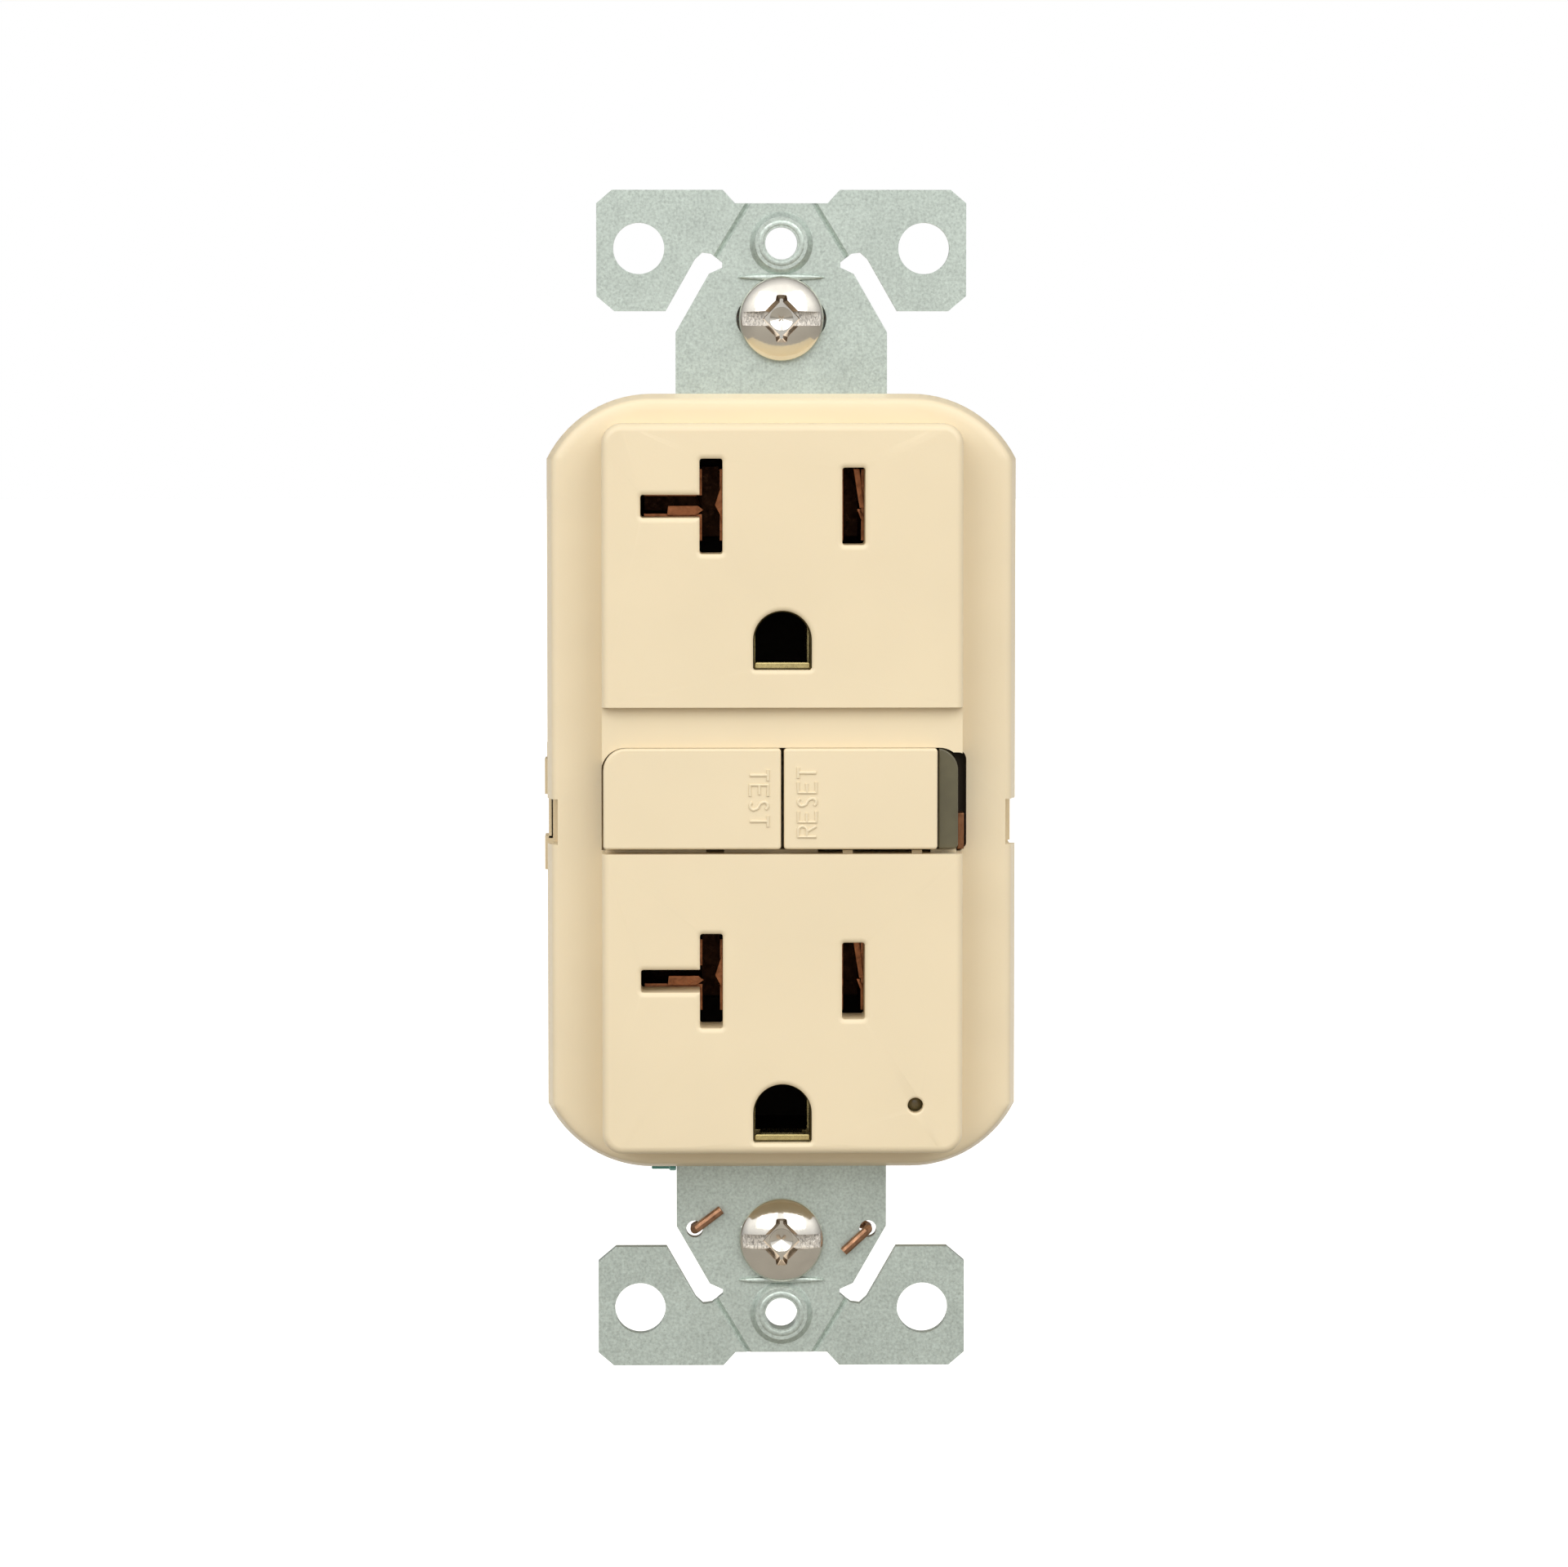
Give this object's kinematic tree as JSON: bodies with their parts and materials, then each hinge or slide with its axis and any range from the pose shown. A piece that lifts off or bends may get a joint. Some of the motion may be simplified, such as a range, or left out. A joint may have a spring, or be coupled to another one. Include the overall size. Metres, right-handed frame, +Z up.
{
  "type": "gfci outlet",
  "caption": "Duplex ground-fault receptacle on a steel mounting strap, with test and reset buttons, side and back wire terminals and a trip mechanism inside.",
  "frame": {"origin": "centre of the cover plate screw holes, in the back plane of the mounting strap", "axes": "+Z up along the strap as installed with the ground holes below the blade slots, +Y into the wall, +X to the right as seen from the front"},
  "size_m": [0.0425, 0.0353, 0.1064],
  "materials": {
    "ivory_face": "semi-gloss moulded ivory nylon",
    "ivory_housing": "moulded ivory nylon, duller than the face",
    "black_plastic": "matt black moulding",
    "zinc_steel": "matt zinc plating with a faint green cast",
    "spring_steel": "bright drawn wire",
    "nickel_screw": "bright nickel plating",
    "brass": "plain brass",
    "copper": "bare copper alloy",
    "green_screw": "green dyed plating",
    "white_nylon": "natural nylon and fibre",
    "smoked_lens": "smoked translucent plastic",
    "lamp_epoxy": "green tinted epoxy",
    "dark_lamp": "dark red epoxy, unlit",
    "ferrite": "dark grey ferrite",
    "green_board": "green solder mask",
    "blue_epoxy": "blue dipped epoxy",
    "beige_epoxy": "beige lacquer"
  },
  "bodies": {
    "root": {"cover": "ivory_face", "rear_housing": "ivory_housing", "separator": "black_plastic", "housing_screws": "nickel_screw", "strap": "zinc_steel", "strap_rivets": "zinc_steel", "ground_contact_upper": "brass", "ground_contact_lower": "brass", "ground_clip": "copper", "neutral_bus": "brass", "hot_bus": "brass", "line_neutral_terminal": "brass", "line_hot_terminal": "brass", "test_spring": "spring_steel", "test_contact": "copper", "reset_spring": "spring_steel", "indicator_lens": "smoked_lens", "status_lamp": "lamp_epoxy", "signal_lamp": "dark_lamp", "block_spring": "spring_steel", "solenoid_bobbin": "white_nylon", "solenoid_coil": "copper", "solenoid_yoke": "zinc_steel", "plunger_spring": "spring_steel", "neutral_conductor": "copper", "hot_conductor": "copper", "sensor_boat": "black_plastic", "sense_core": "ferrite", "sense_winding": "copper", "neutral_core": "ferrite", "neutral_winding": "copper", "circuit_board": "green_board", "varistor": "blue_epoxy", "capacitors": "blue_epoxy", "control_chip": "black_plastic", "thyristor": "black_plastic", "resistors": "beige_epoxy"},
    "test_button": {"test_button": "ivory_face"},
    "reset_button": {"reset_button": "ivory_face", "reset_pin": "zinc_steel"},
    "contact_block": {"latch_block": "black_plastic", "neutral_bridge": "copper", "hot_bridge": "copper"},
    "latch_plate": {"latch_plate": "zinc_steel"},
    "plunger": {"plunger": "zinc_steel"},
    "ground_screw": {"ground_screw": "green_screw"},
    "screw_retainer": {"screw_retainer": "white_nylon"},
    "box_screw_upper": {"box_screw_upper": "nickel_screw"},
    "box_screw_lower": {"box_screw_lower": "nickel_screw"},
    "screw_line_neutral": {"screw_line_neutral": "nickel_screw"},
    "clamp_line_neutral": {"clamp_line_neutral": "zinc_steel"},
    "screw_line_hot": {"screw_line_hot": "brass"},
    "clamp_line_hot": {"clamp_line_hot": "zinc_steel"},
    "screw_load_neutral": {"screw_load_neutral": "nickel_screw"},
    "clamp_load_neutral": {"clamp_load_neutral": "zinc_steel"},
    "screw_load_hot": {"screw_load_hot": "brass"},
    "clamp_load_hot": {"clamp_load_hot": "zinc_steel"}
  },
  "joints": [
    {"name": "test_press", "type": "slide", "parent": "root", "child": "test_button", "axis": [0, 1, 0], "range_m": [0, 0.0015], "stiffness_N_per_m": 1500, "springref_m": -0.001, "deforming": ["test_spring"]},
    {"name": "reset_press", "type": "slide", "parent": "root", "child": "reset_button", "axis": [0, 1, 0], "range_m": [0, 0.002], "stiffness_N_per_m": 1500, "springref_m": -0.001, "deforming": ["reset_spring"]},
    {"name": "contacts_open", "type": "slide", "parent": "root", "child": "contact_block", "axis": [0, 1, 0], "range_m": [0, 0.002], "deforming": ["block_spring"]},
    {"name": "plunger_slide", "type": "slide", "parent": "root", "child": "plunger", "axis": [0, 0, 1], "range_m": [0, 0.0024], "stiffness_N_per_m": 300, "springref_m": -0.001, "deforming": ["plunger_spring"]},
    {"name": "latch_release", "type": "slide", "parent": "contact_block", "child": "latch_plate", "axis": [0, 0, 1], "range_m": [0, 0.0024]},
    {"name": "ground_screw_turn", "type": "hinge", "parent": "root", "child": "ground_screw", "pos_m": [-0.0095, 0.005, -0.0324], "axis": [1, 0, 0], "continuous": true},
    {"name": "retainer_slide", "type": "slide", "parent": "root", "child": "screw_retainer", "axis": [1, 0, 0], "range_m": [-0.002, 0.002]},
    {"name": "box_screw_upper_turn", "type": "hinge", "parent": "screw_retainer", "child": "box_screw_upper", "pos_m": [0, 0, 0.04167], "axis": [0, 1, 0], "continuous": true},
    {"name": "box_screw_lower_turn", "type": "hinge", "parent": "root", "child": "box_screw_lower", "pos_m": [0, 0, -0.04167], "axis": [0, 1, 0], "continuous": true},
    {"name": "line_neutral_turn", "type": "hinge", "parent": "root", "child": "screw_line_neutral", "pos_m": [-0.0187, 0.016, 0.0135], "axis": [1, 0, 0], "range_deg": [0, 810]},
    {"name": "line_neutral_clamp", "type": "slide", "parent": "root", "child": "clamp_line_neutral", "axis": [-1, 0, 0], "range_m": [0, 0.00179]},
    {"name": "line_hot_turn", "type": "hinge", "parent": "root", "child": "screw_line_hot", "pos_m": [0.0187, 0.016, 0.0135], "axis": [-1, 0, 0], "range_deg": [0, 810]},
    {"name": "line_hot_clamp", "type": "slide", "parent": "root", "child": "clamp_line_hot", "axis": [1, 0, 0], "range_m": [0, 0.00179]},
    {"name": "load_neutral_turn", "type": "hinge", "parent": "root", "child": "screw_load_neutral", "pos_m": [-0.0187, 0.016, -0.0135], "axis": [1, 0, 0], "range_deg": [0, 810]},
    {"name": "load_neutral_clamp", "type": "slide", "parent": "root", "child": "clamp_load_neutral", "axis": [-1, 0, 0], "range_m": [0, 0.00179]},
    {"name": "load_hot_turn", "type": "hinge", "parent": "root", "child": "screw_load_hot", "pos_m": [0.0187, 0.016, -0.0135], "axis": [-1, 0, 0], "range_deg": [0, 810]},
    {"name": "load_hot_clamp", "type": "slide", "parent": "root", "child": "clamp_load_hot", "axis": [1, 0, 0], "range_m": [0, 0.00179]}
  ],
  "couplings": [
    {"joint": "contacts_open", "follows": "reset_press", "ratio": 1},
    {"joint": "latch_release", "follows": "plunger_slide", "ratio": 1},
    {"joint": "line_neutral_turn", "follows": "line_neutral_clamp", "rad_per_m": 7913.3},
    {"joint": "line_hot_turn", "follows": "line_hot_clamp", "rad_per_m": 7913.3},
    {"joint": "load_neutral_turn", "follows": "load_neutral_clamp", "rad_per_m": 7913.3},
    {"joint": "load_hot_turn", "follows": "load_hot_clamp", "rad_per_m": 7913.3}
  ]
}
